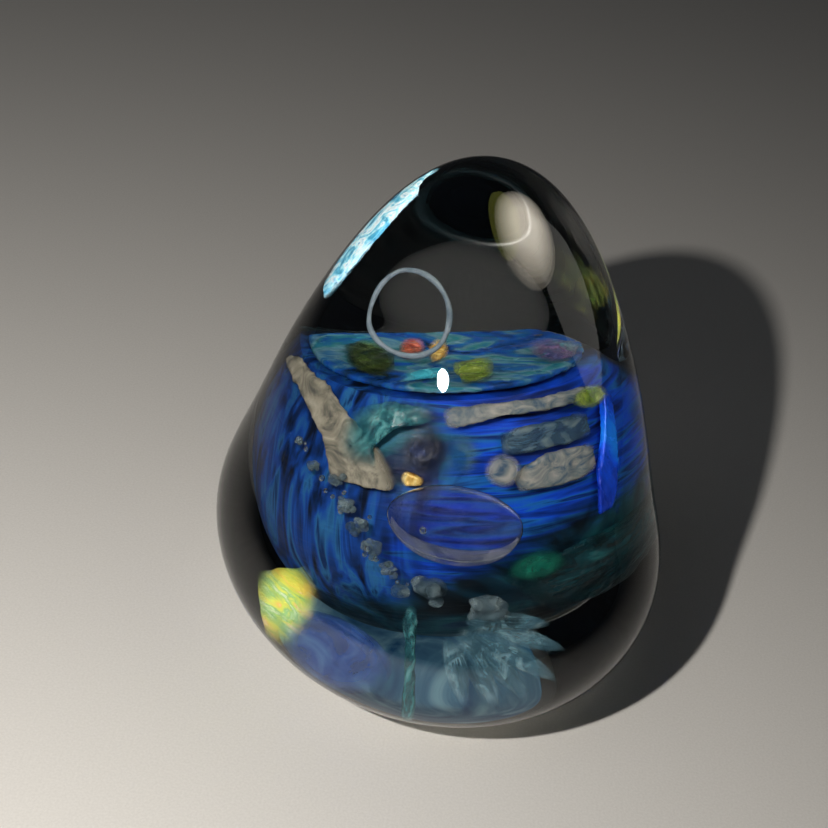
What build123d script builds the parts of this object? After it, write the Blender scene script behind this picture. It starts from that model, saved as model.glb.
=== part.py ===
"""A solid art-glass paperweight: a clear leaning egg with a cobalt scene sealed inside it.

Millimetres. +Z is up and the origin is the centre of the ground flat that the glass stands on.
-Y is the front. The egg leans back and the coloured core inside leans with it, so the pieces on
the core are drawn on planes of the core's own frame.
"""
import os
from math import cos, radians, sin, sqrt

from build123d import *

os.makedirs("parts", exist_ok=True)

# Outside of the glass
BELLY_RADIUS = 35.6  # the narrower half width, at the belly
BELLY_HEIGHT = 21.5
EGG_HEIGHT = 80.0
FLAT_RATIO = 0.45  # ground flat's radius over the belly's
GROUND_OFF = 1.0  # height of glass ground away under the flat
BROADNESS = 1.09  # the egg is this much wider in its broad direction
BROAD_TURN = 62.0  # degrees from +X to the narrow direction
BACK_LEAN = 0.30  # millimetres back for each millimetre up
SHOULDER_POWER = 1.10
CROWN_POWER = 2.13

# The cobalt core. Heights on it are measured up its own axis from its centre.
CORE_CENTRE = Vector(0.5, 11.5, 26.0)
CORE_BACK_LEAN = radians(16.7)
CORE_SIDE_LEAN = radians(10.0)  # to the left
CORE_RADIUS = 25.5
CORE_BELLY = -3.0
CORE_TOP = 20.0
CORE_TOP_RADIUS = 18.5
CORE_FOOT = -21.5
CORE_FOOT_RADIUS = 9.0

# The flat ground on the core's back shoulder
FLAT_TILT = radians(29.0)
FLAT_TURN = radians(18.0)
FLAT_OFFSET = 13.0  # from the core's axis, at the core's top

CLEAR_GAP = 0.6  # clear glass left between two inclusions
SHEET = 0.9  # thickness of a pressed-on sheet or chip
LAYER = SHEET + CLEAR_GAP
THREAD_RADIUS = 0.45
PETAL_RADIUS = 0.8
PETAL_END_RADIUS = 0.25

# The core's frame: x to the right, y to the back, z up the core
leaning_up = Vector(0, sin(CORE_BACK_LEAN), cos(CORE_BACK_LEAN))
core_up = leaning_up * cos(CORE_SIDE_LEAN) - Vector(1, 0, 0) * sin(CORE_SIDE_LEAN)
core_right = Vector(1, 0, 0) * cos(CORE_SIDE_LEAN) + leaning_up * sin(CORE_SIDE_LEAN)
core_back = core_up.cross(core_right)
core_plane = Plane(CORE_CENTRE, x_dir=core_right, z_dir=core_up)
core_axis = Axis(CORE_CENTRE, core_up)

flat_along = core_right * cos(FLAT_TURN) + core_back * sin(FLAT_TURN)
flat_outward = core_back * cos(FLAT_TURN) - core_right * sin(FLAT_TURN)
back_flat = Plane(
    CORE_CENTRE + core_up * CORE_TOP + flat_outward * FLAT_OFFSET,
    x_dir=-flat_along,
    z_dir=flat_outward * cos(FLAT_TILT) + core_up * sin(FLAT_TILT),
)


def facing(azimuth):
    """Plane through the core's axis, seen from the front at 0 and from the right at 90.
    Its x runs round the core and its y runs up it."""
    turn = radians(azimuth)
    along = core_right * cos(turn) + core_back * sin(turn)
    outward = core_right * sin(turn) - core_back * cos(turn)
    return Plane(CORE_CENTRE, x_dir=along, z_dir=outward)


def egg_body(inset):
    """The egg's solid, or a smaller one that lies inset below its surface. Its foot is blown
    round and then ground off flat."""
    radius = BELLY_RADIUS - inset
    rise = EGG_HEIGHT - BELLY_HEIGHT - inset
    drop = BELLY_HEIGHT / sqrt(1 - FLAT_RATIO**2) - inset
    crown = []
    for part in (0.2, 0.4, 0.6, 0.75, 0.87, 0.95, 0.99):
        height = BELLY_HEIGHT + rise * part
        crown.append((radius * (1 - part**SHOULDER_POWER) ** (1 / CROWN_POWER), height))
    foot_height = inset - GROUND_OFF
    foot = []
    for part in (0.0, 0.25, 0.55):
        height = foot_height + (BELLY_HEIGHT - foot_height) * part
        foot.append((radius * sqrt(1 - ((BELLY_HEIGHT - height) / drop) ** 2), height))
    depth = BELLY_HEIGHT - foot_height
    flare = radius * depth / drop**2 / sqrt(1 - (depth / drop) ** 2)
    with BuildPart() as upright:
        with BuildSketch(Plane.XZ):
            with BuildLine():
                top = (0, BELLY_HEIGHT + rise)
                belly = (radius, BELLY_HEIGHT)
                Spline(belly, *crown, top, tangents=((0, 1), (-1, 0)))
                Line(top, (0, foot_height))
                Line((0, foot_height), foot[0])
                Spline(*foot, belly, tangents=((flare, 1), (0, 1)))
            make_face()
        revolve(axis=Axis.Z)
    turn = radians(BROAD_TURN)
    leaning = Matrix(
        [
            [cos(turn), -sin(turn) * BROADNESS, 0, 0],
            [sin(turn), cos(turn) * BROADNESS, BACK_LEAN, 0],
            [0, 0, 1, 0],
        ]
    )
    stretched = upright.part.transform_geometry(leaning)
    with BuildPart() as ground:
        add(stretched)
        split(bisect_by=Plane.XY.offset(inset), keep=Keep.TOP)
    return ground.part


def core_blank(growth):
    """The core before its back is ground, grown all round by a clearance."""
    with BuildPart() as blank:
        with BuildSketch(facing(0)):
            with BuildLine():
                belly = (CORE_RADIUS + growth, CORE_BELLY)
                foot = (CORE_FOOT_RADIUS + growth, CORE_FOOT - growth)
                rim = (CORE_TOP_RADIUS + growth, CORE_TOP + growth)
                Line((0, foot[1]), foot)
                TangentArc(belly, foot, tangent=(0, -1))
                TangentArc(belly, rim, tangent=(0, 1))
                Line(rim, (0, rim[1]))
                Line((0, rim[1]), (0, foot[1]))
            make_face()
        revolve(axis=core_axis)
    return blank.part


def shell_layer(layer):
    """The shell of clear glass that a layer of pressed pieces is cut from."""
    inner = CLEAR_GAP + layer * LAYER
    return core_blank(inner + SHEET) - core_blank(inner)


def pressed_sheet(azimuth, outline, layer=0):
    """A sheet pressed round the core's side, with an outline seen from azimuth."""
    shell = shell_layer(layer)
    with BuildPart() as sheet:
        add(shell)
        with BuildSketch(facing(azimuth)):
            with BuildLine():
                Polyline(*outline, close=True)
            make_face()
        extrude(amount=2 * CORE_RADIUS, mode=Mode.INTERSECT)
    return sheet


def pressed_drop(azimuth, height, width, length, layer=0):
    """A round or oval drop flattened on the core's side."""
    shell = shell_layer(layer)
    with BuildPart() as drop:
        add(shell)
        with BuildSketch(facing(azimuth)):
            with Locations((0, height)):
                Ellipse(width / 2, length / 2)
        extrude(amount=2 * CORE_RADIUS, mode=Mode.INTERSECT)
    return drop


def top_chip(outline):
    """A chip of dichroic glass lying over the pool at the core's top."""
    with BuildPart() as chip:
        with BuildSketch(core_plane.offset(CORE_TOP + CLEAR_GAP + LAYER)):
            with BuildLine():
                Polyline(*outline, close=True)
            make_face()
        extrude(amount=SHEET)
    return chip


def lens(place, width, height, thickness):
    """A flat oval drop with a rounded edge."""
    with BuildPart() as drop:
        with BuildSketch(place):
            Ellipse(width / 2, height / 2)
        extrude(amount=thickness / 2, both=True)
        fillet(drop.edges(), radius=0.45 * thickness)
    return drop


def spindle(start, end, radius):
    """A slender petal with blunt ends."""
    along = end - start
    with BuildPart() as petal:
        with BuildSketch(Plane(start, x_dir=along, z_dir=along.cross(Vector(0, 0, 1)))):
            with BuildLine():
                Line((0, 0), (0, PETAL_END_RADIUS))
                Spline(
                    (0, PETAL_END_RADIUS),
                    (along.length / 2, radius),
                    (along.length, PETAL_END_RADIUS),
                )
                Line((along.length, PETAL_END_RADIUS), (along.length, 0))
                Line((along.length, 0), (0, 0))
            make_face()
        revolve(axis=Axis(start, along))
    return petal


inclusions = {}

# ---- The core: a cobalt gather with a flat top and a flat ground on its back shoulder
core_whole = core_blank(0)
with BuildPart() as cobalt_core:
    add(core_whole)
    split(bisect_by=back_flat, keep=Keep.BOTTOM)
inclusions["cobalt_core"] = cobalt_core

# ---- The panel: a strip of dichroic sheet fused over the ground flat
PANEL_WIDTH = 23.0
PANEL_HEIGHT = 15.0
PANEL_THICKNESS = 1.4
with BuildPart() as back_panel:
    with BuildSketch(back_flat.offset(CLEAR_GAP)):
        with Locations((0, -2 - PANEL_HEIGHT / 2)):
            RectangleRounded(PANEL_WIDTH, PANEL_HEIGHT, radius=1.5)
    extrude(amount=PANEL_THICKNESS)
inclusions["back_panel"] = back_panel

# ---- The pool: a thin teal disc on the core's top, cut off straight at the back
POOL_RADIUS = 17.2
POOL_CUT = 9.5  # distance of the straight edge from the core's axis
pool_edge = Plane(CORE_CENTRE + flat_outward * POOL_CUT, x_dir=flat_along, z_dir=flat_outward)
with BuildPart() as teal_pool:
    with BuildSketch(core_plane.offset(CORE_TOP + CLEAR_GAP)):
        Circle(POOL_RADIUS)
    extrude(amount=SHEET)
    split(bisect_by=pool_edge, keep=Keep.BOTTOM)
inclusions["teal_pool"] = teal_pool

# ---- Dichroic chips scattered over the pool, x to the right and y to the back
inclusions["olive_chip"] = top_chip(
    [(-12.6, -3.3), (-8.5, 0.5), (-6.2, -5.0), (-6.8, -13.0), (-9.4, -13.8), (-12.4, -9.0)]
)
inclusions["red_chip"] = top_chip([(-4.3, 1.3), (-1.6, 1.7), (-2.2, -4.9), (-5.0, -5.3)])
inclusions["amber_chip"] = top_chip([(-0.7, 1.8), (1.3, 1.0), (1.0, -4.0), (-1.1, -6.7)])
inclusions["cyan_chip"] = top_chip([(0.6, -10.4), (0.8, -13.4), (-4.8, -16.2), (-5.4, -14.6)])
inclusions["lime_chip"] = top_chip([(2.2, -9.4), (6.4, -6.0), (6.8, -12.9), (3.5, -16.2)])
inclusions["pink_chip"] = top_chip(
    [(10.5, 2.5), (12.6, 3.5), (16.4, 2.3), (16.6, -3.0), (13.5, -5.5)]
)
inclusions["yellow_frit"] = pressed_drop(azimuth=62, height=18.4, width=7.0, length=2.6, layer=1)

# ---- Pale shards round the front and the right of the core
inclusions["upper_shard"] = pressed_sheet(
    32, [(-10.4, 19.5), (-2.2, 19.8), (12.0, 19.2), (12.2, 17.7), (-2.7, 18.2), (-10.6, 16.8)]
)
inclusions["lower_shard"] = pressed_sheet(
    41, [(-6.4, 7.4), (6.6, 7.4), (7.0, 11.4), (-1.4, 11.6), (-6.8, 9.6)]
)
inclusions["shard_bead"] = pressed_drop(azimuth=20, height=11.0, width=5.0, length=4.2, layer=1)
inclusions["grey_pane"] = pressed_sheet(
    48, [(-10.5, 12.6), (-9.5, 16.0), (5.2, 16.2), (4.4, 12.6)]
)

# ---- The cream wedge across the left shoulder and its amber tip
inclusions["cream_wedge"] = pressed_sheet(
    -43,
    [(-14.5, 18.8), (-11.0, 20.2), (-3.4, 19.3), (8.3, 13.1), (10.6, 11.0), (10.0, 8.8), (1.0, 8.7),
     (-1.8, 13.6), (-8.0, 17.2)],
)
inclusions["amber_tip"] = pressed_sheet(-11, [(-1.0, 10.9), (2.4, 9.6), (2.2, 8.8), (-1.0, 8.4)])

# ---- The aqua swirl, its dark hollow and the teal disc beside it
inclusions["aqua_swirl"] = pressed_sheet(
    -18,
    [(-8.4, 14.0), (-6.8, 18.4), (-1.0, 20.2), (6.0, 19.8), (6.6, 18.4), (0.6, 17.0), (-2.4, 14.2),
     (-1.2, 11.0), (-5.0, 11.2)],
    layer=1,
)
inclusions["navy_hollow"] = pressed_drop(azimuth=-6, height=13.8, width=4.6, length=5.2)
inclusions["teal_disc"] = pressed_drop(azimuth=7, height=13.2, width=4.6, length=5.2)

# ---- Bright and dark sheets down the right side
inclusions["cobalt_bar"] = pressed_sheet(
    65, [(3.4, 17.2), (5.2, 16.6), (-0.6, 1.0), (-4.4, 0.6), (-3.1, 7.3)]
)
inclusions["teal_wrap"] = pressed_sheet(
    75, [(-22.0, -6.0), (-12.0, -2.6), (6.0, -1.4), (21.0, -4.0), (20.0, -12.0), (4.0, -16.0),
         (-15.0, -14.0)]
)
inclusions["green_patch"] = pressed_drop(azimuth=29, height=-4.2, width=8.6, length=4.4, layer=1)

# ---- Stem, petals and the violet drop, in the clear glass below the core's front
STEM_FOOT = Vector(0.6, -19.6, 7.0)
STEM_HEAD = Vector(-2.2, -18.0, 23.0)
stem_along = STEM_HEAD - STEM_FOOT
with BuildPart() as stem:
    with BuildSketch(Plane(STEM_FOOT, x_dir=stem_along, z_dir=stem_along.cross(core_right))):
        with BuildLine():
            Line((0, 0), (0, 1.3))
            Spline((0, 1.3), (0.45 * stem_along.length, 0.75), (stem_along.length, 1.4))
            Line((stem_along.length, 1.4), (stem_along.length, 0))
            Line((stem_along.length, 0), (0, 0))
        make_face()
    revolve(axis=Axis(STEM_FOOT, stem_along))
inclusions["stem"] = stem

PETAL_HUB = Vector(1.8, -18.6, 23.4)
PETAL_START = 3.6  # the petals begin this far from their hub
petal_tips = [
    (18.8, -16.2, 22.8),
    (21.6, -16.0, 18.2),
    (20.8, -16.6, 13.8),
    (17.2, -18.0, 11.2),
    (12.8, -19.6, 10.2),
    (8.0, -21.0, 10.2),
]
for number, tip in enumerate(petal_tips, start=1):
    outward = (Vector(*tip) - PETAL_HUB).normalized()
    inclusions[f"petal_{number}"] = spindle(
        PETAL_HUB + outward * PETAL_START, Vector(*tip), PETAL_RADIUS
    )

inclusions["violet_drop"] = lens(
    Plane((-10.8, -15.4, 12.6), x_dir=(0.92, -0.39, 0), z_dir=(-0.38, -0.90, -0.19)),
    width=17.0,
    height=9.6,
    thickness=2.0,
)

# ---- A dichroic flake low on the left and a long one under the left of the crown
flake_place = Plane((-19.9, -14.8, 17.7), x_dir=(0.79, -0.60, 0), z_dir=(-0.60, -0.79, 0.14))
with BuildPart() as rainbow_flake:
    with BuildSketch(flake_place):
        with BuildLine():
            Polyline((-6.1, 1.6), (1.3, 6.8), (4.8, 3.5), (4.3, -2.2), (-0.8, -6.6), (-3.6, -2.8),
                     close=True)
        make_face()
    extrude(amount=SHEET)
inclusions["rainbow_flake"] = rainbow_flake

CREST_DEPTH = 2.4
crest_shell = egg_body(CREST_DEPTH) - egg_body(CREST_DEPTH + SHEET)
with BuildPart() as crest_flake:
    add(crest_shell)
    with BuildSketch(Plane((0, 0, 0), x_dir=(0, -1, 0), z_dir=(-1, 0, 0))):
        with BuildLine():
            Polyline((-12.0, 56.0), (-13.6, 62.0), (-16.6, 68.0), (-20.4, 72.6), (-29.0, 73.0),
                     (-27.0, 66.0), (-25.0, 60.0), (-23.0, 54.5), close=True)
        make_face()
    extrude(amount=EGG_HEIGHT / 2, mode=Mode.INTERSECT)
inclusions["crest_flake"] = crest_flake

# ---- A milky thread closed into a drop-shaped loop in the clear crown
loop_place = Plane((-9.1, 5.1, 59.8), x_dir=(0.86, -0.52, 0), z_dir=(-0.40, -0.66, 0.63))
loop_round = [(-5.2, -4.0), (-7.3, -0.2), (-6.4, 5.2), (-2.4, 7.2), (2.7, 5.6)]
loop_return = [(2.7, 5.6), (5.6, 1.2), (5.2, -2.4), (1.6, -4.8), (-2.4, -5.2), (-5.2, -4.0)]
start_way = (-0.8, 0.6)
tip_way = (0.7, -0.7)
with BuildPart() as halo_thread:
    for points, tangents in ((loop_round, (start_way, tip_way)), (loop_return, (tip_way, start_way))):
        with BuildLine(loop_place) as half:
            Spline(*points, tangents=tangents)
        with BuildSketch(Plane(half.line @ 0, z_dir=half.line % 0)):
            Circle(THREAD_RADIUS)
        sweep(path=half.line)
inclusions["halo_thread"] = halo_thread

# ---- The clear casing, with a cavity for each inclusion and its trapped air
FLAT_BUBBLE = Plane((1.9, -14.3, 38.1), x_dir=(1, 0, 0), z_dir=(0, -0.83, 0.55))
flat_bubble = lens(FLAT_BUBBLE, width=20.0, height=11.4, thickness=1.6)
seed_bubbles = [
    (0.7, (-22.8, -1.9, 39.2)),
    (0.9, (-20.3, -5.7, 37.7)),
    (1.0, (-16.5, -8.6, 37.9)),
    (1.2, (-14.4, -11.4, 35.7)),
    (1.3, (-11.7, -13.8, 34.2)),
    (1.4, (-9.4, -15.8, 32.0)),
    (1.2, (-6.7, -18.2, 30.4)),
    (1.2, (-4.4, -20.2, 28.0)),
    (1.9, (-0.2, -19.4, 29.2)),
    (2.2, (8.8, -19.6, 27.4)),
]
whole_egg = egg_body(0)
with BuildPart() as clear_casing:
    add(whole_egg)
    for inclusion in inclusions.values():
        add(inclusion.part, mode=Mode.SUBTRACT)
    add(flat_bubble.part, mode=Mode.SUBTRACT)
    for bubble_radius, bubble_place in seed_bubbles:
        with Locations(bubble_place):
            Sphere(bubble_radius, mode=Mode.SUBTRACT)

for name, piece in {"clear_casing": clear_casing, **inclusions}.items():
    piece.part.label = name
    export_step(piece.part, f"parts/{name}.step")
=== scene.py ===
import math
import random

import bmesh
import bpy
import numpy as np
from mathutils import Matrix, Vector, noise


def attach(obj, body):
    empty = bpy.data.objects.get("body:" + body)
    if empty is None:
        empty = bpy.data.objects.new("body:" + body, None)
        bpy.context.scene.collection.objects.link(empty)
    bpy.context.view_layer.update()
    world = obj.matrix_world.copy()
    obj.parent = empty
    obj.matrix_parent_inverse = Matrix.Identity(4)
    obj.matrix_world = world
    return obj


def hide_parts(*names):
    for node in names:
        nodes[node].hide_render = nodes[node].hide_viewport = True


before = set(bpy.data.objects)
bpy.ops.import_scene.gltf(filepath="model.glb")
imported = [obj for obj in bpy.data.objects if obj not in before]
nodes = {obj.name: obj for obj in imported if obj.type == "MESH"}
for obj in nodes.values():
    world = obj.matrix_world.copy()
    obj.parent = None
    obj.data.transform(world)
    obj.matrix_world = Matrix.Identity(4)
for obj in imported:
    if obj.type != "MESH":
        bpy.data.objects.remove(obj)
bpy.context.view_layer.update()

scene = bpy.context.scene
MM = 0.001

# ---------------------------------------------------------------- node helpers


def add_node(tree, kind, inputs=None, **settings):
    """Adds a shader node; an input given as a socket is linked and any other is set."""
    made = tree.nodes.new(kind)
    for key, value in settings.items():
        setattr(made, key, value)
    for key, value in (inputs or {}).items():
        if isinstance(value, bpy.types.NodeSocket):
            tree.links.new(value, made.inputs[key])
        else:
            made.inputs[key].default_value = value
    return made


def ramp(tree, factor, stops, interpolation="LINEAR"):
    """A colour ramp through (position, colour) stops."""
    made = add_node(tree, "ShaderNodeValToRGB", {"Fac": factor})
    band = made.color_ramp
    band.interpolation = interpolation
    while len(band.elements) < len(stops):
        band.elements.new(0.5)
    for element, (place, colour) in zip(band.elements, stops):
        element.position = place
        element.color = (*colour, 1.0)
    return made.outputs["Color"]


def new_material(name):
    made = bpy.data.materials.new(name)
    made.use_nodes = True
    made.node_tree.nodes.clear()
    return made, made.node_tree


def coordinates(tree, scale, turn=(0, 0, 0)):
    """Row-frame coordinates stretched by scale, which is in cycles per metre."""
    place = add_node(tree, "ShaderNodeTexCoord")
    return add_node(
        tree,
        "ShaderNodeMapping",
        {"Vector": place.outputs["Object"], "Scale": scale, "Rotation": turn},
    ).outputs["Vector"]


def principal(obj):
    """Centre, turn and half sizes of a mesh along its own main directions."""
    co = np.array([vert.co for vert in obj.data.vertices])
    _, axes = np.linalg.eigh(np.cov((co - co.mean(0)).T))
    axes = axes[:, ::-1]
    if np.linalg.det(axes) < 0:
        axes[:, 2] *= -1
    local = co @ axes
    low, high = local.min(0), local.max(0)
    centre = axes @ ((low + high) / 2)
    turn = Matrix(axes.tolist()).to_euler()
    return centre, turn, (high - low) / 2


def fused_glass(name, stops, scale=(120, 120, 120), turn=(0, 0, 0), detail=4.0, warp=1.2,
                rough=(0.12, 0.35), metallic=0.0, gloss=0.15, bump=0.2, painted_glow=0.0,
                around=None, veil=(1.0, 0.85, 1.15), ragged=0.35, cloud=None):
    """Coloured glass inside clear glass: colour stops spread by stretched noise.
    Around a piece, veil says how solid it is and where it thins out to nothing. cloud instead
    gives the least and the most solid that the noise makes it."""
    made, tree = new_material(name)
    place = coordinates(tree, scale, turn)
    field = add_node(
        tree, "ShaderNodeTexNoise",
        {"Vector": place, "Scale": 1.0, "Detail": detail, "Roughness": 0.55, "Distortion": warp},
    )
    colour = ramp(tree, field.outputs["Fac"], stops)
    grain = add_node(
        tree, "ShaderNodeTexNoise",
        {"Vector": coordinates(tree, tuple(3.1 * s for s in scale), turn), "Scale": 1.0, "Detail": 3.0},
    )
    roughness = add_node(
        tree, "ShaderNodeMapRange",
        {"Value": grain.outputs["Fac"], "From Min": 0.3, "From Max": 0.7,
         "To Min": rough[0], "To Max": rough[1]},
    )
    relief = add_node(
        tree, "ShaderNodeBump",
        {"Height": grain.outputs["Fac"], "Strength": bump, "Distance": 0.3 * MM},
    )
    inputs = {
        "Base Color": colour,
        "Roughness": roughness.outputs["Result"],
        "Metallic": metallic,
        "Specular IOR Level": gloss,
        "Normal": relief.outputs["Normal"],
    }
    # The glow is painted light: the piece shines in its own colour though it is no lamp.
    if painted_glow:
        inputs["Emission Color"] = colour
        inputs["Emission Strength"] = painted_glow
    if cloud:
        inputs["Alpha"] = add_node(
            tree, "ShaderNodeMapRange",
            {"Value": field.outputs["Fac"], "From Min": 0.35, "From Max": 0.65,
             "To Min": cloud[0], "To Max": cloud[1]},
        ).outputs["Result"]
    if around is not None:
        centre, own_turn, half = principal(around)
        solidity, inner_edge, outer_edge = veil
        local = add_node(
            tree, "ShaderNodeMapping",
            {"Vector": add_node(tree, "ShaderNodeTexCoord").outputs["Object"], "Location": centre,
             "Rotation": own_turn, "Scale": [max(h, 0.8 * MM) for h in (half[0], half[1], 2.2 * half[2])]},
            vector_type="TEXTURE",
        )
        reach = add_node(tree, "ShaderNodeVectorMath", {0: local.outputs["Vector"]}, operation="LENGTH")
        torn = add_node(tree, "ShaderNodeMath", {0: field.outputs["Fac"], 1: ragged}, operation="MULTIPLY")
        total = add_node(tree, "ShaderNodeMath", {0: reach.outputs["Value"], 1: torn.outputs[0]},
                         operation="ADD")
        alpha = add_node(
            tree, "ShaderNodeMapRange",
            {"Value": total.outputs[0], "From Min": inner_edge + 0.5 * ragged,
             "From Max": outer_edge + 0.5 * ragged, "To Min": solidity, "To Max": 0.0},
            interpolation_type="SMOOTHSTEP",
        )
        inputs["Alpha"] = alpha.outputs["Result"]
    shader = add_node(tree, "ShaderNodeBsdfPrincipled", inputs)
    add_node(tree, "ShaderNodeOutputMaterial", {"Surface": shader.outputs["BSDF"]})
    return made


# ------------------------------------------------------------ the clear casing

# These are the part's own dimensions for the outside of the glass.
BELLY_RADIUS = 35.6
BELLY_HEIGHT = 21.5
EGG_HEIGHT = 80.0
FLAT_RATIO = 0.45
BROADNESS = 1.09
BROAD_TURN = math.radians(62.0)
BACK_LEAN = 0.30
SHOULDER_POWER = 1.10
CROWN_POWER = 2.13


def spline(points, start_way, end_way, per_span):
    """A smooth cubic curve through points, with given directions at its ends."""
    points = np.array(points, float)
    count = len(points)
    gaps = np.linalg.norm(np.diff(points, axis=0), axis=1)
    matrix = np.zeros((count, count))
    right = np.zeros((count, 2))
    matrix[0, 0] = matrix[-1, -1] = 1.0
    right[0] = np.array(start_way) / np.linalg.norm(start_way)
    right[-1] = np.array(end_way) / np.linalg.norm(end_way)
    for i in range(1, count - 1):
        before, after = gaps[i - 1], gaps[i]
        matrix[i, i - 1:i + 2] = (after, 2 * (before + after), before)
        right[i] = 3 * (after / before * (points[i] - points[i - 1])
                        + before / after * (points[i + 1] - points[i]))
    slopes = np.linalg.solve(matrix, right)
    line = []
    for i in range(count - 1):
        for t in np.linspace(0, 1, per_span, endpoint=False):
            line.append((2 * t**3 - 3 * t**2 + 1) * points[i] + (t**3 - 2 * t**2 + t) * gaps[i] * slopes[i]
                        + (3 * t**2 - 2 * t**3) * points[i + 1] + (t**3 - t**2) * gaps[i] * slopes[i + 1])
    line.append(points[-1])
    return line


def egg_profile():
    """Radius and height from the ground flat's edge to the top, in millimetres."""
    rise = EGG_HEIGHT - BELLY_HEIGHT
    drop = BELLY_HEIGHT / math.sqrt(1 - FLAT_RATIO**2)
    lower = []
    for height in np.linspace(0, BELLY_HEIGHT, 48):
        lower.append((BELLY_RADIUS * math.sqrt(1 - ((BELLY_HEIGHT - height) / drop) ** 2), height))
    crown = [(BELLY_RADIUS, BELLY_HEIGHT)]
    for part in (0.2, 0.4, 0.6, 0.75, 0.87, 0.95, 0.99):
        crown.append((BELLY_RADIUS * (1 - part**SHOULDER_POWER) ** (1 / CROWN_POWER),
                      BELLY_HEIGHT + rise * part))
    crown.append((0, EGG_HEIGHT))
    return lower[:-1] + spline(crown, (0, 1), (-1, 0), 18)


def leaning(x, y, z):
    """The upright egg's points taken to the broad, leaning egg, in metres."""
    ct, st = math.cos(BROAD_TURN), math.sin(BROAD_TURN)
    return Vector((ct * x - st * BROADNESS * y, st * x + ct * BROADNESS * y + BACK_LEAN * z, z)) * MM


def new_object(name, bm, material, smooth=True):
    mesh = bpy.data.meshes.new(name)
    bm.to_mesh(mesh)
    bm.free()
    for face in mesh.polygons:
        face.use_smooth = smooth
    mesh.materials.append(material)
    made = bpy.data.objects.new(name, mesh)
    scene.collection.objects.link(made)
    return made


def add_egg(bm, around=320):
    rings = []
    flat_edge = BELLY_RADIUS * FLAT_RATIO
    profile = [(flat_edge * s, 0.0) for s in (0.25, 0.5, 0.75, 0.9, 0.975)] + egg_profile()[1:-1]
    for radius, height in profile:
        rings.append([bm.verts.new(leaning(radius * math.cos(a), radius * math.sin(a), height))
                      for a in np.linspace(0, 2 * math.pi, around, endpoint=False)])
    bottom = bm.verts.new(leaning(0, 0, 0))
    top = bm.verts.new(leaning(0, 0, EGG_HEIGHT))
    for i in range(around):
        j = (i + 1) % around
        bm.faces.new((bottom, rings[0][j], rings[0][i]))
        for low, high in zip(rings, rings[1:]):
            bm.faces.new((low[i], low[j], high[j], high[i]))
        bm.faces.new((rings[-1][i], rings[-1][j], top))


def add_bubble(bm, centre, radii, axes=None, wobble=0.06, seed=0.0, fineness=4, slot=0):
    """A cavity of trapped air: a slightly uneven ball whose faces look inwards."""
    made = bmesh.ops.create_icosphere(bm, subdivisions=fineness, radius=1.0)
    frame_of = axes or Matrix.Identity(3)
    for vert in made["verts"]:
        swell = 1 + wobble * noise.noise(vert.co * 1.3 + Vector((seed, 2 * seed, -seed)))
        local = Vector((vert.co.x * radii[0], vert.co.y * radii[1], vert.co.z * radii[2])) * swell
        vert.co = (frame_of @ local + Vector(centre)) * MM
    faces = list(dict.fromkeys(face for vert in made["verts"] for face in vert.link_faces))
    for face in faces:
        face.material_index = slot
    bmesh.ops.reverse_faces(bm, faces=faces)


# Radius and centre of each trapped bubble, from the top left to the bottom right.
SEED_BUBBLES = [
    (0.7, (-22.8, -1.9, 39.2)),
    (0.9, (-20.3, -5.7, 37.7)),
    (1.0, (-16.5, -8.6, 37.9)),
    (1.2, (-14.4, -11.4, 35.7)),
    (1.3, (-11.7, -13.8, 34.2)),
    (1.4, (-9.4, -15.8, 32.0)),
    (1.2, (-6.7, -18.2, 30.4)),
    (1.2, (-4.4, -20.2, 28.0)),
    (1.9, (-0.2, -19.4, 29.2)),
    (2.2, (8.8, -19.6, 27.4)),
]


def clear_glass():
    made, tree = new_material("clear_glass")
    place = add_node(tree, "ShaderNodeTexCoord").outputs["Object"]
    height = add_node(tree, "ShaderNodeSeparateXYZ", {"Vector": place}).outputs["Z"]
    smudge = add_node(tree, "ShaderNodeTexNoise",
                      {"Vector": coordinates(tree, (90, 90, 60)), "Detail": 5.0, "Distortion": 0.8})
    polish = ramp(tree, smudge.outputs["Fac"], [(0.45, (0.0, 0.0, 0.0)), (0.8, (0.03, 0.03, 0.03))])
    ground = add_node(tree, "ShaderNodeMapRange",
                      {"Value": height, "From Min": 0.0001, "From Max": 0.0007,
                       "To Min": 0.45, "To Max": 0.0})
    rough = add_node(tree, "ShaderNodeMath", {0: polish, 1: ground.outputs["Result"]}, operation="ADD")
    tint = ramp(tree, smudge.outputs["Fac"], [(0.3, (0.965, 0.985, 0.98)), (0.7, (0.985, 0.99, 0.985))])
    wave = add_node(tree, "ShaderNodeTexNoise", {"Vector": coordinates(tree, (28, 28, 20)), "Detail": 1.0})
    relief = add_node(tree, "ShaderNodeBump",
                      {"Height": wave.outputs["Fac"], "Strength": 0.06, "Distance": 0.3 * MM})
    shader = add_node(tree, "ShaderNodeBsdfPrincipled",
                      {"Base Color": tint, "Roughness": rough.outputs[0], "IOR": 1.5,
                       "Transmission Weight": 1.0, "Normal": relief.outputs["Normal"]})
    add_node(tree, "ShaderNodeOutputMaterial", {"Surface": shader.outputs["BSDF"]})
    return made


def bubble_film(name, tint_low, tint_high, rough):
    """The clouded skin of a trapped bubble."""
    made, tree = new_material(name)
    cloud = add_node(tree, "ShaderNodeTexNoise",
                     {"Vector": coordinates(tree, (260, 260, 260)), "Scale": 1.0, "Detail": 4.0})
    tint = ramp(tree, cloud.outputs["Fac"], [(0.35, tint_low), (0.65, tint_high)])
    roughness = add_node(tree, "ShaderNodeMapRange",
                         {"Value": cloud.outputs["Fac"], "To Min": rough[0], "To Max": rough[1]})
    shader = add_node(tree, "ShaderNodeBsdfPrincipled",
                      {"Base Color": tint,
                       "Roughness": roughness.outputs["Result"], "IOR": 1.5, "Transmission Weight": 1.0})
    add_node(tree, "ShaderNodeOutputMaterial", {"Surface": shader.outputs["BSDF"]})
    return made


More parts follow.
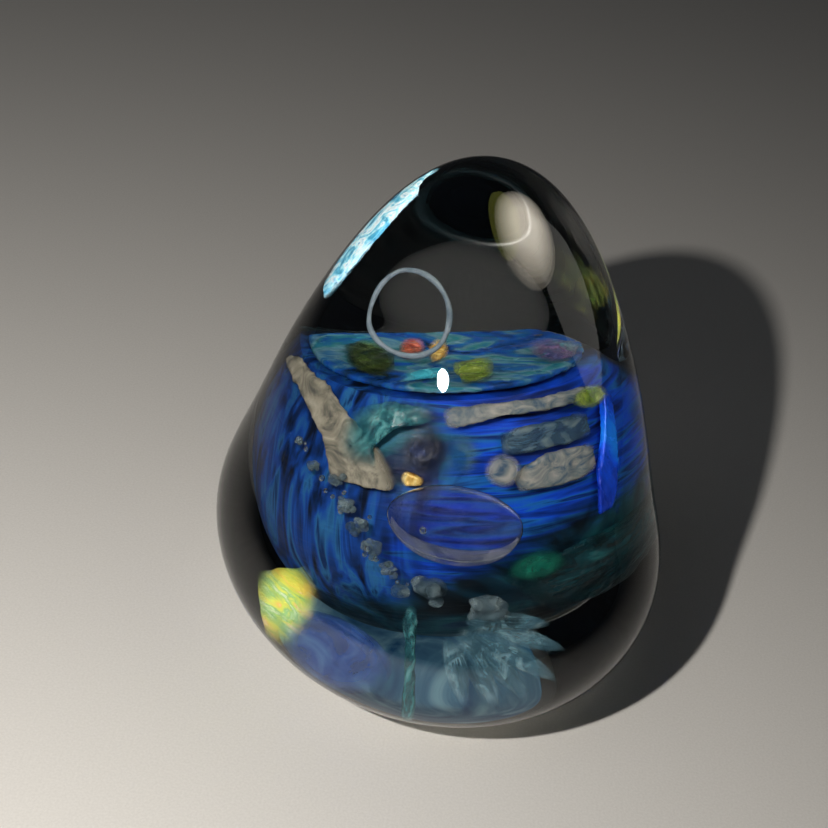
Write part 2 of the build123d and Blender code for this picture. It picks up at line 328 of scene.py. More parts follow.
casing_mesh = bmesh.new()
add_egg(casing_mesh)
dice = random.Random(11)
for (_, centre), (_, following) in zip(SEED_BUBBLES[:8], SEED_BUBBLES[1:9]):
    for _ in range(2):
        part = dice.uniform(0.2, 0.8)
        spot = [a + (b - a) * part + dice.uniform(-1.8, 1.8) for a, b in zip(centre, following)]
        spot[1] -= 0.6
        add_bubble(casing_mesh, spot, (dice.uniform(0.25, 0.5),) * 3, wobble=0.2,
                   seed=dice.uniform(0, 50), fineness=3, slot=1)
add_bubble(casing_mesh, (-2.6, -16.2, 37.2), (0.55, 0.55, 0.55), wobble=0.1, fineness=3, slot=1)
FLAT_BUBBLE = Vector((1.9, -14.3, 38.1))
flat_across = Vector((1, 0, 0))
flat_out = Vector((0, -0.83, 0.55)).normalized()
flat_axes = Matrix((flat_across, flat_out.cross(flat_across), flat_out)).transposed()
add_bubble(casing_mesh, FLAT_BUBBLE, (10.0, 5.7, 0.8), axes=flat_axes, wobble=0.03, seed=4.2, slot=2)
casing = new_object("clear_egg", casing_mesh, clear_glass())
casing.data.materials.append(bubble_film("seed_film", (0.62, 0.74, 0.70), (0.85, 0.92, 0.88), (0.15, 0.45)))
casing.data.materials.append(bubble_film("flat_film", (0.62, 0.58, 0.74), (0.82, 0.80, 0.88), (0.12, 0.3)))
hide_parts("clear_casing")
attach(casing, "root")

# -------------------------------------------------------------- fused glasses


def keep_inner(obj, node):
    """obj stands for a CAD inclusion."""
    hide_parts(node)
    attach(obj, "root")
    return obj


def melted(node, voxel=0.28, rounds=5, wobble=0.12, pitch=1.6, seed=0.0, grow=(1.0, 1.0)):
    """A copy of a CAD solid with its edges melted round and its faces a little uneven."""
    mesh = nodes[node].data.copy()
    mesh.materials.clear()
    made = bpy.data.objects.new(node + "_fused", mesh)
    scene.collection.objects.link(made)
    remesh = made.modifiers.new("remesh", "REMESH")
    remesh.mode = "VOXEL"
    remesh.voxel_size = voxel * MM
    relax = made.modifiers.new("relax", "SMOOTH")
    relax.factor = 0.5
    relax.iterations = rounds
    graph = bpy.context.evaluated_depsgraph_get()
    final = bpy.data.meshes.new_from_object(made.evaluated_get(graph))
    made.modifiers.clear()
    made.data = final
    normals = [vert.normal.copy() for vert in final.vertices]
    for vert, normal in zip(final.vertices, normals):
        push = noise.noise(vert.co / (pitch * MM) + Vector((seed, 0, 0)))
        vert.co += normal * push * wobble * MM
    if grow != (1.0, 1.0):
        centre, turn, _ = principal(made)
        axes = turn.to_matrix()
        for vert in final.vertices:
            local = axes.transposed() @ (vert.co - Vector(centre))
            local.x *= grow[0]
            local.y *= grow[1]
            vert.co = axes @ local + Vector(centre)
    for face in final.polygons:
        face.use_smooth = True
    return keep_inner(made, node)


def add_tube(bm, path, radii, sides=12, flat=1.0, across=None, closed=False, slot=0):
    """A tube along a path in metres. flat squeezes it at right angles to across."""
    count = len(path)
    rings = []
    for i, (point, radius) in enumerate(zip(path, radii)):
        before = path[i - 1] if (i or closed) else point
        after = path[(i + 1) % count] if (i + 1 < count or closed) else point
        along = (after - before).normalized()
        side = (across - along * across.dot(along)).normalized()
        thin = along.cross(side)
        rings.append([
            bm.verts.new(point + side * radius * math.cos(a) + thin * radius * flat * math.sin(a))
            for a in np.linspace(0, 2 * math.pi, sides, endpoint=False)
        ])
    pairs = list(zip(rings, rings[1:])) + ([(rings[-1], rings[0])] if closed else [])
    for low, high in pairs:
        for i in range(sides):
            j = (i + 1) % sides
            bm.faces.new((low[i], low[j], high[j], high[i])).material_index = slot
    if not closed:
        bm.faces.new(rings[0][::-1]).material_index = slot
        bm.faces.new(rings[-1]).material_index = slot


def smooth_path(points, count, closed=False):
    """Evenly many points on a Catmull-Rom curve through points."""
    points = [Vector(p) for p in points]
    spans = len(points) if closed else len(points) - 1
    line = []
    for k in range(count):
        at = k / (count if closed else count - 1) * spans
        i = min(int(at), spans - 1)
        t = at - i
        pick = [points[(i + j) % len(points)] if closed else points[min(max(i + j, 0), len(points) - 1)]
                for j in (-1, 0, 1, 2)]
        a, b, c, d = pick
        line.append(0.5 * ((2 * b) + (c - a) * t + (2 * a - 5 * b + 4 * c - d) * t**2
                           + (3 * b - a - 3 * c + d) * t**3))
    return line


# Colour stops, then how the noise that spreads them is stretched and how the surface looks. A glow in a
# style is painted light, standing in for light passing through the glass.
STYLES = {
    "dichroic_blue": dict(
        stops=[(0.3, (0.002, 0.02, 0.30)), (0.5, (0.004, 0.08, 0.85)), (0.65, (0.01, 0.25, 1.0)),
               (0.8, (0.02, 0.5, 0.9))],
        scale=(110, 110, 50), warp=1.0, metallic=0.2, gloss=0.4, painted_glow=0.10),
    "teal_glass": dict(
        stops=[(0.32, (0.003, 0.02, 0.06)), (0.43, (0.006, 0.06, 0.32)), (0.50, (0.01, 0.10, 0.26)),
               (0.56, (0.10, 0.22, 0.30)), (0.61, (0.02, 0.16, 0.20)), (0.70, (0.004, 0.05, 0.30))],
        scale=(70, 110, 110), warp=1.6, gloss=0.2),
    "dark_teal_glass": dict(
        stops=[(0.3, (0.002, 0.010, 0.016)), (0.5, (0.003, 0.028, 0.04)), (0.62, (0.006, 0.06, 0.08)),
               (0.74, (0.03, 0.2, 0.22))],
        scale=(40, 40, 200), turn=(0.2, 0.1, 0), warp=1.5),
    "olive_glass": dict(
        stops=[(0.3, (0.01, 0.03, 0.02)), (0.5, (0.04, 0.07, 0.015)), (0.66, (0.10, 0.15, 0.02)),
               (0.8, (0.05, 0.2, 0.25))],
        scale=(300, 300, 300), gloss=0.4, metallic=0.2),
    "red_glass": dict(
        stops=[(0.35, (0.30, 0.05, 0.03)), (0.6, (0.75, 0.22, 0.12)), (0.8, (0.8, 0.5, 0.3))],
        scale=(400, 400, 400), metallic=0.2, gloss=0.4),
    "amber_glass": dict(
        stops=[(0.35, (0.50, 0.24, 0.02)), (0.6, (0.85, 0.62, 0.20)), (0.8, (0.9, 0.8, 0.5))],
        scale=(400, 400, 400), metallic=0.2, gloss=0.4),
    "cyan_glass": dict(
        stops=[(0.35, (0.02, 0.30, 0.45)), (0.55, (0.08, 0.6, 0.75)), (0.8, (0.6, 0.9, 0.95))],
        scale=(300, 300, 300), metallic=0.2, gloss=0.4, painted_glow=0.05),
    "lime_glass": dict(
        stops=[(0.35, (0.12, 0.22, 0.03)), (0.6, (0.36, 0.48, 0.08)), (0.8, (0.7, 0.75, 0.3))],
        scale=(400, 400, 400), metallic=0.2, gloss=0.4),
    "pink_glass": dict(
        stops=[(0.35, (0.05, 0.10, 0.30)), (0.5, (0.25, 0.14, 0.30)), (0.62, (0.12, 0.36, 0.40)),
               (0.8, (0.5, 0.5, 0.5))],
        scale=(300, 200, 200), metallic=0.2, gloss=0.4),
    "pale_glass": dict(
        stops=[(0.3, (0.04, 0.09, 0.16)), (0.46, (0.17, 0.20, 0.22)), (0.72, (0.38, 0.37, 0.35))],
        scale=(220, 220, 420), warp=2.6, rough=(0.35, 0.6), gloss=0.1),
    "grey_glass": dict(
        stops=[(0.3, (0.01, 0.03, 0.10)), (0.5, (0.04, 0.09, 0.15)), (0.68, (0.16, 0.22, 0.25))],
        scale=(140, 140, 300), warp=2.6, rough=(0.3, 0.5), gloss=0.1),
    "cream_glass": dict(
        stops=[(0.3, (0.10, 0.10, 0.09)), (0.5, (0.27, 0.25, 0.20)), (0.7, (0.42, 0.39, 0.32))],
        scale=(200, 200, 200), warp=2.5, rough=(0.35, 0.6), gloss=0.1),
    "aqua_glass": dict(
        stops=[(0.3, (0.005, 0.03, 0.05)), (0.46, (0.02, 0.12, 0.15)), (0.58, (0.08, 0.30, 0.32)),
               (0.72, (0.25, 0.55, 0.6))],
        scale=(240, 240, 160), warp=2.8),
    "navy_glass": dict(
        stops=[(0.3, (0.001, 0.002, 0.010)), (0.6, (0.002, 0.008, 0.04)), (0.8, (0.01, 0.04, 0.2))],
        scale=(200, 200, 200), gloss=0.05),
    "green_glass": dict(
        stops=[(0.3, (0.004, 0.04, 0.04)), (0.55, (0.01, 0.16, 0.11)), (0.75, (0.03, 0.35, 0.28))],
        scale=(200, 200, 300), gloss=0.1),
    "petal_glass": dict(
        stops=[(0.3, (0.03, 0.10, 0.16)), (0.5, (0.10, 0.24, 0.32)), (0.68, (0.40, 0.62, 0.70))],
        scale=(300, 300, 300), gloss=0.3),
    "violet_glass": dict(
        stops=[(0.3, (0.015, 0.04, 0.16)), (0.5, (0.03, 0.09, 0.34)), (0.75, (0.10, 0.22, 0.50))],
        scale=(120, 120, 120), warp=2.0, gloss=0.2, painted_glow=0.08),
    # The two dichroic films glow strongly: painted highlights for the light flashing off them.
    "dichroic_gold": dict(
        stops=[(0.30, (0.95, 0.95, 0.92)), (0.40, (0.95, 0.62, 0.12)), (0.48, (0.80, 0.85, 0.12)),
               (0.56, (0.30, 0.60, 0.20)), (0.63, (0.85, 0.95, 0.60)), (0.74, (0.08, 0.25, 0.55))],
        scale=(120, 120, 520), turn=(0, 0.6, 0), warp=0.8, metallic=0.4, gloss=0.6,
        rough=(0.1, 0.3), bump=0.6, painted_glow=0.35),
    "dichroic_silver": dict(
        stops=[(0.30, (0.01, 0.12, 0.25)), (0.42, (0.10, 0.45, 0.65)), (0.50, (0.45, 0.85, 0.95)),
               (0.58, (0.95, 1.0, 1.0)), (0.68, (0.12, 0.5, 0.7))],
        scale=(300, 300, 160), warp=1.8, metallic=0.4, gloss=0.6, rough=(0.1, 0.3), bump=0.8,
        painted_glow=0.6),
    "milk_glass": dict(
        stops=[(0.3, (0.10, 0.14, 0.18)), (0.6, (0.22, 0.27, 0.32))], scale=(300, 300, 300), gloss=0.1),
}


def finish_piece(obj, slot, veil=(1.0, 0.8, 1.1), **changes):
    """Gives a piece its own material in a slot's style, thinning out towards its edges."""
    settings = {**STYLES[slot], **changes}
    obj.data.materials.clear()
    obj.data.materials.append(fused_glass(obj.name + "_finish", around=obj, veil=veil, **settings))
    return obj


def cobalt_material():
    """Vivid blue round the shoulder, dark and greenish low on the right, with painted shade: near black at
    the back and darker in the hollow.
    """
    made, tree = new_material("cobalt_glass")
    place = add_node(tree, "ShaderNodeTexCoord").outputs["Object"]
    local = add_node(
        tree, "ShaderNodeMapping",
        {"Vector": place, "Location": CORE_CENTRE, "Rotation": CORE_TURN, "Scale": (MM, MM, MM)},
        vector_type="TEXTURE",
    ).outputs["Vector"]
    parts = add_node(tree, "ShaderNodeSeparateXYZ", {"Vector": local})

    def stretched_noise(scale, distortion):
        place_on_core = add_node(tree, "ShaderNodeMapping", {"Vector": local, "Scale": scale})
        return add_node(tree, "ShaderNodeTexNoise",
                        {"Vector": place_on_core.outputs["Vector"], "Scale": 1.0, "Detail": 3.0,
                         "Distortion": distortion})

    swirl = stretched_noise((0.07, 0.07, 0.10), 1.6)
    bands = stretched_noise((0.05, 0.05, 0.55), 0.7)
    streaks = stretched_noise((0.30, 0.30, 0.05), 1.0)

    def mix(factor, first, second):
        made_mix = add_node(tree, "ShaderNodeMix", data_type="RGBA")
        for socket, value in zip((made_mix.inputs[0], made_mix.inputs[6], made_mix.inputs[7]),
                                 (factor, first, second)):
            if isinstance(value, bpy.types.NodeSocket):
                tree.links.new(value, socket)
            else:
                socket.default_value = value
        return made_mix.outputs[2]

    def step(value, low, high):
        """A soft step from 0 to 1, broken up by the swirl."""
        shifted = add_node(tree, "ShaderNodeMath", {0: swirl.outputs["Fac"], 1: 14.0, 2: value},
                           operation="MULTIPLY_ADD").outputs[0]
        return add_node(tree, "ShaderNodeMapRange",
                        {"Value": shifted, "From Min": low + 7.0, "From Max": high + 7.0},
                        interpolation_type="SMOOTHSTEP").outputs["Result"]

    right_blue = ramp(tree, bands.outputs["Fac"],
                      [(0.34, (0.001, 0.006, 0.05)), (0.43, (0.003, 0.03, 0.28)),
                       (0.50, (0.004, 0.06, 0.62)), (0.56, (0.01, 0.12, 0.42)),
                       (0.62, (0.002, 0.015, 0.12)), (0.70, (0.004, 0.05, 0.40))])
    left_blue = ramp(tree, streaks.outputs["Fac"],
                     [(0.34, (0.002, 0.006, 0.02)), (0.43, (0.004, 0.025, 0.13)),
                      (0.52, (0.006, 0.055, 0.30)), (0.60, (0.02, 0.12, 0.30)),
                      (0.68, (0.003, 0.02, 0.10))])
    low_dark = ramp(tree, swirl.outputs["Fac"],
                    [(0.38, (0.001, 0.006, 0.012)), (0.50, (0.003, 0.024, 0.045)),
                     (0.58, (0.008, 0.06, 0.08)), (0.66, (0.003, 0.02, 0.06))])
    upper = mix(step(parts.outputs["X"], -9.0, 3.0), left_blue, right_blue)
    tilted = add_node(tree, "ShaderNodeMath", {0: parts.outputs["X"], 1: -0.45, 2: parts.outputs["Z"]},
                      operation="MULTIPLY_ADD").outputs[0]
    # The hollow in the core's front is painted darker: painted shade in the recess.
    from_hollow = add_node(
        tree, "ShaderNodeMapping",
        {"Vector": local, "Location": (-3.5, -24.0, 13.0), "Scale": (9.5, 12.0, 6.5)},
        vector_type="TEXTURE",
    ).outputs["Vector"]
    hollow_reach = add_node(tree, "ShaderNodeVectorMath", {0: from_hollow}, operation="LENGTH")
    hollow_edge = add_node(tree, "ShaderNodeMath",
                           {0: swirl.outputs["Fac"], 1: 1.6, 2: hollow_reach.outputs["Value"]},
                           operation="MULTIPLY_ADD").outputs[0]
    hollow_shade_mask = add_node(tree, "ShaderNodeMapRange",
                         {"Value": hollow_edge, "From Min": 1.35, "From Max": 2.1,
                          "To Min": 0.9, "To Max": 0.0}, interpolation_type="SMOOTHSTEP").outputs["Result"]
    painted_hollow_shade = ramp(tree, swirl.outputs["Fac"],
                [(0.36, (0.001, 0.004, 0.03)), (0.48, (0.002, 0.02, 0.05)), (0.56, (0.01, 0.08, 0.10)),
                 (0.66, (0.02, 0.14, 0.17))])
    upper = mix(hollow_shade_mask, upper, painted_hollow_shade)
    front = mix(step(tilted, -11.0, -4.0), low_dark, upper)
    # Painted shade: the core's back is turned near black, as if unlit.
    back = mix(step(parts.outputs["Y"], 2.0, 10.0), front, (0.002, 0.006, 0.012, 1.0))
    relief = add_node(tree, "ShaderNodeBump",
                      {"Height": bands.outputs["Fac"], "Strength": 0.4, "Distance": 0.6 * MM})
    rough = add_node(tree, "ShaderNodeMapRange",
                     {"Value": streaks.outputs["Fac"], "To Min": 0.25, "To Max": 0.6})
    shader = add_node(tree, "ShaderNodeBsdfPrincipled",
                      {"Base Color": back, "Roughness": rough.outputs["Result"],
                       "Specular IOR Level": 0.12, "Normal": relief.outputs["Normal"]})
    add_node(tree, "ShaderNodeOutputMaterial", {"Surface": shader.outputs["BSDF"]})
    return made


CORE_CENTRE = Vector((0.5, 11.5, 26.0)) * MM
CORE_TURN = (math.radians(-16.7), math.radians(-10.0), 0)
core_mesh = nodes["cobalt_core"].data
core_mesh.materials.clear()
core_mesh.materials.append(cobalt_material())
for face in core_mesh.polygons:
    face.use_smooth = False
inner = [nodes["cobalt_core"]]

PANEL_TINT = {"stops": [(0.3, (0.002, 0.004, 0.006)), (0.7, (0.004, 0.012, 0.016))]}

# Pieces drawn out along and across their own face, mostly because their soft edges look narrow.
GROWN = {
    "cream_wedge": (1.18, 1.1), "aqua_swirl": (1.1, 1.1),
    "upper_shard": (1.05, 1.1), "lower_shard": (1.05, 1.15), "shard_bead": (1.15, 1.15),
    "navy_hollow": (1.75, 1.75), "teal_disc": (1.5, 1.5), "green_patch": (1.15, 1.15),
    "olive_chip": (1.15, 1.15), "red_chip": (1.2, 1.2), "amber_chip": (1.2, 1.2),
    "cyan_chip": (1.2, 1.2), "lime_chip": (1.25, 1.25), "pink_chip": (1.15, 1.15),
    "yellow_frit": (1.1, 1.1), "rainbow_flake": (1.15, 1.1), "crest_flake": (1.0, 0.62),
}
SMALL_PIECES = ("red_chip", "amber_chip", "amber_tip")

for node, slot, rounds, wobble, veil in (
    ("back_panel", "dark_teal_glass", 6, 0.1, (1.0, 1.4, 1.6)),
    ("teal_pool", "teal_glass", 4, 0.15, (1.0, 1.3, 1.5)),
    ("olive_chip", "olive_glass", 4, 0.2, (0.95, 0.6, 1.1)),
    ("red_chip", "red_glass", 4, 0.2, (0.85, 0.5, 1.1)),
    ("amber_chip", "amber_glass", 4, 0.2, (0.8, 0.5, 1.1)),
    ("cyan_chip", "cyan_glass", 4, 0.2, (0.8, 0.5, 1.1)),
    ("lime_chip", "lime_glass", 4, 0.2, (0.85, 0.5, 1.1)),
    ("pink_chip", "pink_glass", 4, 0.2, (0.8, 0.5, 1.1)),
    ("yellow_frit", "lime_glass", 4, 0.2, (0.8, 0.5, 1.1)),
    ("upper_shard", "pale_glass", 4, 0.2, (0.9, 0.9, 1.15)),
    ("lower_shard", "pale_glass", 4, 0.2, (0.9, 0.9, 1.2)),
    ("shard_bead", "pale_glass", 4, 0.2, (0.8, 0.6, 1.1)),
    ("grey_pane", "grey_glass", 4, 0.2, (0.75, 0.9, 1.2)),
    ("cream_wedge", "cream_glass", 4, 0.25, (0.95, 0.9, 1.2)),
    ("amber_tip", "amber_glass", 3, 0.1, (0.9, 0.6, 1.1)),
    ("aqua_swirl", "aqua_glass", 4, 0.2, (0.75, 0.35, 1.05)),
    ("navy_hollow", "navy_glass", 4, 0.1, (0.9, 0.2, 1.0)),
    ("teal_disc", "teal_glass", 4, 0.1, (0.5, 0.2, 1.0)),
    ("cobalt_bar", "dichroic_blue", 4, 0.1, (1.0, 0.9, 1.2)),
    ("teal_wrap", "dark_teal_glass", 4, 0.2, (0.95, 0.8, 1.15)),
    ("green_patch", "green_glass", 4, 0.1, (0.85, 0.5, 1.05)),
    ("stem", "aqua_glass", 3, 0.2, (0.7, 0.9, 1.15)),
    ("rainbow_flake", "dichroic_gold", 3, 0.25, (0.95, 0.25, 1.05)),
    ("crest_flake", "dichroic_silver", 3, 0.25, (1.0, 0.8, 1.15)),
):
    voxel = 0.2 if node in SMALL_PIECES else 0.3
    piece = melted(node, voxel=voxel, rounds=rounds, wobble=wobble, seed=len(inner) * 3.1,
                   grow=GROWN.get(node, (1.0, 1.0)))
    changes = PANEL_TINT if node == "back_panel" else {}
    inner.append(finish_piece(piece, slot, veil=veil, **changes))

# The violet drop keeps its lens shape and gets a bright, glowing thread round its upper rim: a painted
# highlight along the rim.
drop = melted("violet_drop", rounds=3, wobble=0.08, seed=7.0)
drop_centre, _, _ = principal(drop)
out_way = Vector((-0.38, -0.90, -0.19)).normalized()
along_way = Vector((0.92, -0.39, 0)).normalized()
up_way = out_way.cross(along_way)
rim = []
for angle in np.linspace(math.radians(-12), math.radians(215), 60):
    rim.append(Vector(drop_centre) + along_way * 8.3 * MM * math.cos(angle)
               + up_way * -4.6 * MM * math.sin(angle) + out_way * 0.7 * MM)
if (rim[30] - Vector(drop_centre)).z < 0:
    rim = [point + up_way * 2 * (Vector(drop_centre) - point).dot(up_way) for point in rim]
rim_mesh = bmesh.new()
rim_mesh.from_mesh(drop.data)
add_tube(rim_mesh, rim, [0.34 * MM * math.sin(math.pi * (0.04 + 0.92 * k / 59)) for k in range(60)],
         sides=8, across=out_way, slot=1)
rim_mesh.to_mesh(drop.data)
rim_mesh.free()
finish_piece(drop, "violet_glass", veil=(0.75, 0.75, 1.1))
# The rim thread glows in pale colours: a painted highlight.
drop.data.materials.append(fused_glass(
    "violet_rim_highlight", [(0.35, (0.2, 0.6, 0.5)), (0.5, (0.7, 0.85, 0.9)), (0.65, (0.6, 0.75, 0.3))],
    scale=(200, 200, 200), gloss=0.4, painted_glow=0.3))
inner.append(drop)

# Each petal is a thin blade with threads of paler glass drawn along it.
dice = random.Random(5)
FRONT = Vector((0, -1, 0.25)).normalized()
PETAL_HUB = np.array([1.8, -18.6, 23.4]) * MM
PETAL_THREADS = 9
PETAL_SPREAD = 2.3 * MM
BLADE_RADIUS = 1.7 * MM
for number in range(1, 7):
    node = f"petal_{number}"
    co = np.array([vert.co for vert in nodes[node].data.vertices])
    order = np.argsort(((co - PETAL_HUB) ** 2).sum(1))
    start, tip = Vector(co[order[0]]), Vector(co[order[-1]])
    along = (tip - start).normalized()
    side = along.cross(FRONT).normalized()
    length = (tip - start).length
    bm = bmesh.new()
    steps = np.linspace(0, 1, 24)
    for thread in range(PETAL_THREADS):
        lean = 2 * thread / (PETAL_THREADS - 1) - 1 + dice.uniform(-0.2, 0.2)
        reach = dice.uniform(0.7, 1.0)
        thick = dice.uniform(0.03, 0.11) * MM
        begin = dice.uniform(0.0, 0.18)
        path = []
        for s in steps:
            t = begin + (reach - begin) * s
            spread = lean * PETAL_SPREAD * (t**0.8) * (1.15 - 0.35 * t)
            sway = 0.35 * MM * math.sin(3.0 * t + lean * 2 + number)
            lift = FRONT * 0.25 * MM * lean * lean
            path.append(start + along * length * t + side * (spread + sway) + lift)
        radii = [thick * (0.15 + math.sin(math.pi * min(s * 1.02, 1)) ** 0.7) for s in steps]
        add_tube(bm, path, radii, sides=8, across=side)
    blade = [start + along * length * s * 0.95 - FRONT * 0.35 * MM for s in steps]
    add_tube(bm, blade, [BLADE_RADIUS * (0.06 + math.sin(math.pi * s**0.8) ** 0.8) for s in steps],
             sides=16, flat=0.08, across=side, slot=1)
    petal = new_object(node + "_threads", bm, None)
    keep_inner(petal, node)
    finish_piece(petal, "petal_glass", veil=(0.55, 0.5, 1.05))
    petal.data.materials.append(fused_glass(node + "_blade", around=petal, veil=(0.10, 0.2, 1.0),
                                            **STYLES["petal_glass"]))
    inner.append(petal)

# Clouded skins of the bigger trapped bubbles.
bm = bmesh.new()
for number, (radius, centre) in enumerate(SEED_BUBBLES):
    wide = 1.25 if radius > 1.5 else 1.05
    add_bubble(bm, centre, (radius * wide, radius * 0.9, radius * 0.85), wobble=0.45, seed=number * 1.7)
    for _ in range(3):
        spot = [c + dice.uniform(-1.1, 1.1) * radius for c in centre]
        add_bubble(bm, spot, (radius * dice.uniform(0.3, 0.6),) * 3, wobble=0.4, seed=dice.uniform(0, 50),
                   fineness=3)
bmesh.ops.reverse_faces(bm, faces=bm.faces[:])
froth = new_object("bubble_skins", bm, fused_glass(
    "bubble_skin", [(0.32, (0.03, 0.07, 0.10)), (0.5, (0.10, 0.15, 0.18)), (0.7, (0.20, 0.26, 0.28))],
    scale=(260, 260, 260), gloss=0.1, rough=(0.4, 0.7), bump=0.05, cloud=(0.25, 0.65)))
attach(froth, "root")
inner.append(froth)

# The pale lower rim of the big flat bubble: a painted reflection, drawn as a pale tube.
bm = bmesh.new()
arc = []
for angle in np.linspace(math.radians(186), math.radians(354), 70):
    arc.append((FLAT_BUBBLE + flat_across * 9.4 * math.cos(angle)
                + flat_out.cross(flat_across) * 5.1 * math.sin(angle) + flat_out * 0.2) * MM)
add_tube(bm, arc, [1.15 * MM * (0.1 + math.sin(math.pi * k / 69)) for k in range(70)], sides=14, flat=0.35,
         across=flat_out.cross(flat_across) + flat_across * 0.001)
flat_rim_reflection = new_object("flat_bubble_rim", bm, fused_glass(
    "bubble_rim", [(0.3, (0.06, 0.08, 0.13)), (0.5, (0.16, 0.18, 0.24)), (0.7, (0.30, 0.30, 0.36))],
    scale=(160, 160, 160), gloss=0.2, cloud=(0.25, 0.6)))
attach(flat_rim_reflection, "root")
inner.append(flat_rim_reflection)

# The ground face seen from inside: a frosted skin just above the flat, as radius and height. Its glow is
# painted light, standing in for light scattered in the glass.
SKIN_SIDES = 120
bm = bmesh.new()
skin = [(0.0, 0.30), (4.0, 0.30), (8.0, 0.30), (12.0, 0.30), (15.0, 0.30), (15.3, 0.22), (15.0, 0.14),
        (8.0, 0.14), (0.0, 0.14)]
loops = [[bm.verts.new(leaning(radius * math.cos(a), radius * math.sin(a), height))
          for a in np.linspace(0, 2 * math.pi, SKIN_SIDES, endpoint=False)]
         for radius, height in skin[1:-1]]
upper, lower = bm.verts.new(leaning(0, 0, 0.30)), bm.verts.new(leaning(0, 0, 0.14))
for i in range(SKIN_SIDES):
    j = (i + 1) % SKIN_SIDES
    bm.faces.new((upper, loops[0][i], loops[0][j]))
    for outer, inward in zip(loops[1:], loops):
        bm.faces.new((inward[i], outer[i], outer[j], inward[j]))
    bm.faces.new((lower, loops[-1][j], loops[-1][i]))
frost = new_object("ground_face", bm, fused_glass(
    "ground_frost", [(0.34, (0.01, 0.05, 0.12)), (0.5, (0.05, 0.13, 0.20)), (0.64, (0.14, 0.26, 0.32))],
    scale=(110, 110, 110), warp=2.2, rough=(0.5, 0.8), gloss=0.05, bump=0.4, painted_glow=0.30))
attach(frost, "root")
inner.append(frost)

# The milky thread closes into a drop-shaped loop.
LOOP_PLACE = Vector((-9.1, 5.1, 59.8))
loop_x = Vector((0.86, -0.52, 0)).normalized()
loop_z = Vector((-0.40, -0.66, 0.63)).normalized()
loop_x = (loop_x - loop_z * loop_x.dot(loop_z)).normalized()
loop_y = loop_z.cross(loop_x)
LOOP = [(5.6, 1.2), (4.6, 3.6), (2.7, 5.6), (0.2, 6.9), (-3.0, 7.2), (-5.8, 6.0), (-7.3, 3.2), (-7.3, 0.2),
        (-6.6, -2.2), (-5.2, -4.0), (-2.4, -5.2), (1.0, -5.2), (3.8, -4.0), (5.6, -1.6)]
loop = smooth_path([(LOOP_PLACE + loop_x * x + loop_y * y) * MM for x, y in LOOP], 120, closed=True)
bm = bmesh.new()
add_tube(bm, loop, [0.42 * MM * (1 + 0.15 * math.sin(5 * math.pi * k / 60)) for k in range(120)],
         sides=14, across=loop_z, closed=True)
halo = new_object("halo_loop", bm, fused_glass("milk_loop", around=None, **STYLES["milk_glass"]))
keep_inner(halo, "halo_thread")
inner.append(halo)

# ------------------------------------------------------------- floor and light

floor_material, tree = new_material("pale_floor")
grain = add_node(tree, "ShaderNodeTexNoise", {"Vector": coordinates(tree, (500, 500, 500)), "Detail": 3.0})
floor_shader = add_node(
    tree, "ShaderNodeBsdfPrincipled",
    {"Base Color": ramp(tree, grain.outputs["Fac"], [(0.3, (0.66, 0.64, 0.61)), (0.7, (0.72, 0.70, 0.67))]),
     "Roughness": 0.65, "Specular IOR Level": 0.2},
)
add_node(tree, "ShaderNodeOutputMaterial", {"Surface": floor_shader.outputs["BSDF"]})
ground = bmesh.new()
bmesh.ops.create_circle(ground, cap_ends=True, segments=96, radius=2.5)
bmesh.ops.translate(ground, verts=ground.verts, vec=(0, 0, -0.00002))
floor = new_object("floor", ground, floor_material)


def collection_of(name, objects):
    made = bpy.data.collections.new(name)
    for item in objects:
        made.objects.link(item)
    return made


def lamp(name, kind, place, power, colour, aim=(0, 0, 30), upright=(0, 0, 1), **settings):
    """A lamp at a place in millimetres that looks at aim."""
    data = bpy.data.lights.new(name, kind)
    data.energy = power
    data.color = colour
    for key, value in settings.items():
        setattr(data, key, value)
    made = bpy.data.objects.new(name, data)
    made.location = Vector(place) * MM
    out = (Vector(place) - Vector(aim)).normalized()
    up = Vector(upright) - out * out.dot(Vector(upright))
    up.normalize()
    made.rotation_euler = Matrix((up.cross(out), up, out)).transposed().to_euler()
    scene.collection.objects.link(made)
    return made


KEY_PLACE = (-87.6, -159.1, 184.9)
WARM = (1.0, 0.96, 0.90)
key = lamp("key", "POINT", KEY_PLACE, 2.3, WARM, shadow_soft_size=0.004)
fill = lamp("fill", "AREA", (-500, -300, 900), 0.35, (0.92, 0.96, 1.0), shape="DISK", size=0.6)
for hidden in (key, fill):
    hidden.visible_glossy = False
    hidden.visible_transmission = False

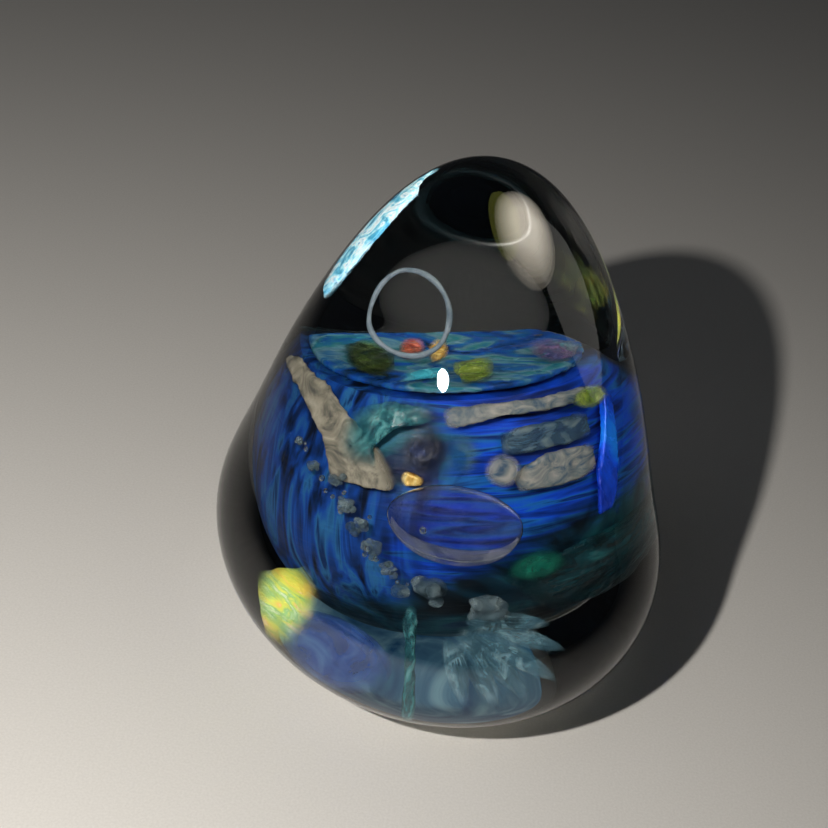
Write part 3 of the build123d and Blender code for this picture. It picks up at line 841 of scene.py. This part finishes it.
# Panels seen only as highlights on the clear glass. The window is a stack of ever smaller
# ovals, so that it fades towards its edge.
WINDOW_STEPS = 8
WINDOW = tuple(
    (f"window_{step}", (148, 45, 448 - 0.5 * step), (4.8, 12.7, 76), (-0.18, 0.51, 0),
     0.42 * (1 - 0.085 * step) ** 2, (1.0, 0.90, 0.74),
     {"shape": "ELLIPSE", "size": 0.35 * (1 - 0.085 * step), "size_y": 0.37 * (1 - 0.085 * step)})
    for step in range(WINDOW_STEPS)
)
only_casing = collection_of("casing_alone", [casing])
for name, place, aim, upright, power, colour, settings in (
    ("glint", (-124, -278, 325), (-3.7, -6, 57.7), (0, 0, 1), 0.75, WARM,
     {"shape": "ELLIPSE", "size": 0.050, "size_y": 0.022}),
    ("window_fringe", (40, 30, 470), (4.8, 12.7, 76), (-0.18, 0.51, 0), 0.12, (0.72, 0.75, 0.12),
     {"shape": "ELLIPSE", "size": 0.16, "size_y": 0.30}),
    ("side_sheen", (330, 60, 330), (12, 12, 60), (0, 0, 1), 0.22, (0.95, 0.92, 0.86),
     {"shape": "ELLIPSE", "size": 0.26, "size_y": 0.44}),
) + WINDOW:
    made = lamp(name, "AREA", place, power, colour, aim=aim, upright=upright, **settings)
    made.light_linking.receiver_collection = only_casing
    made.visible_camera = False

# The clear glass doesn't shade what is sealed inside it.
within = collection_of("within_the_glass", inner)
linked = lamp("inner_key", "POINT", KEY_PLACE, 1.5, WARM, shadow_soft_size=0.01)
linked.light_linking.receiver_collection = within
linked.light_linking.blocker_collection = within

world = bpy.data.worlds.new("studio")
scene.world = world
world.use_nodes = True
world.node_tree.nodes.clear()
backdrop = add_node(world.node_tree, "ShaderNodeBackground",
                    {"Color": (0.55, 0.58, 0.62, 1.0), "Strength": 0.03})
add_node(world.node_tree, "ShaderNodeOutputWorld", {"Surface": backdrop.outputs["Background"]})

# ---------------------------------------------------------------------- camera

PITCH = math.radians(34.43)
ROLL = math.radians(9.71)
right_level = Vector((1, 0, 0))
up_level = Vector((0, math.sin(PITCH), math.cos(PITCH)))
forward = Vector((0, math.cos(PITCH), -math.sin(PITCH)))
camera_right = right_level * math.cos(ROLL) + up_level * math.sin(ROLL)
camera_up = up_level * math.cos(ROLL) - right_level * math.sin(ROLL)
camera_data = bpy.data.cameras.new("camera")
camera_data.lens = 60.17
camera_data.sensor_width = 36.0
camera_data.clip_start = 0.01
camera = bpy.data.objects.new("camera", camera_data)
turned = Matrix((camera_right, camera_up, -forward)).transposed().to_4x4()
camera.matrix_world = Matrix.Translation(Vector((-7.08, -179.31, 169.61)) * MM) @ turned
scene.collection.objects.link(camera)
scene.camera = camera

scene.view_settings.view_transform = "Standard"
scene.cycles.max_bounces = 14
scene.cycles.transmission_bounces = 12
scene.cycles.glossy_bounces = 8
scene.cycles.diffuse_bounces = 4
scene.cycles.sample_clamp_indirect = 4.0
